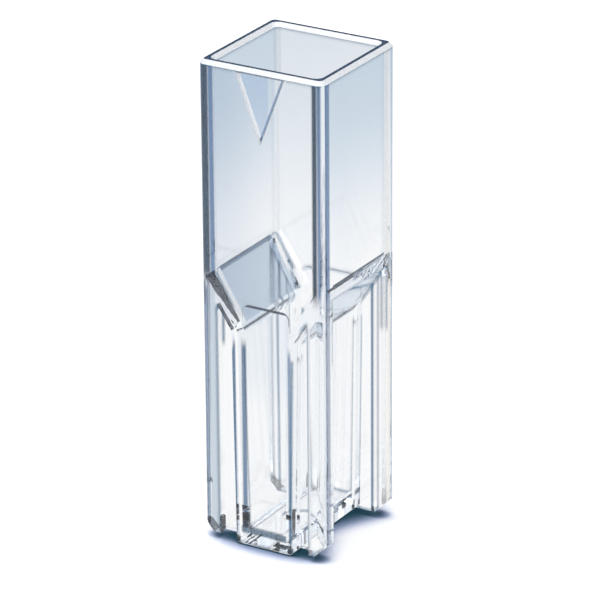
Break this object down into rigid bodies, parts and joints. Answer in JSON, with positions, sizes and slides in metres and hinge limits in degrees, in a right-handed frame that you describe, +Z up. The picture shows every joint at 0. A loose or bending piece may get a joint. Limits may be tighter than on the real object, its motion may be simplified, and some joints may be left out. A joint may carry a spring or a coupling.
{
  "type": "cuvette",
  "caption": "Clear disposable semi-micro cuvette: square open tube narrowing through a funnel to a slim measuring chamber between two optical windows, with corner legs.",
  "frame": {"origin": "centre of the square outline, at the foot of the chamber block", "axes": "+Z up along the tube to the open mouth; -Y is the optical face with the triangle mark, and the light path runs along Y; the side pockets face +X and -X"},
  "size_m": [0.0126, 0.0126, 0.045],
  "materials": {
    "clear_polystyrene": "clear, gloss"
  },
  "bodies": {
    "root": {"cuvette": "clear_polystyrene"}
  },
  "joints": []
}
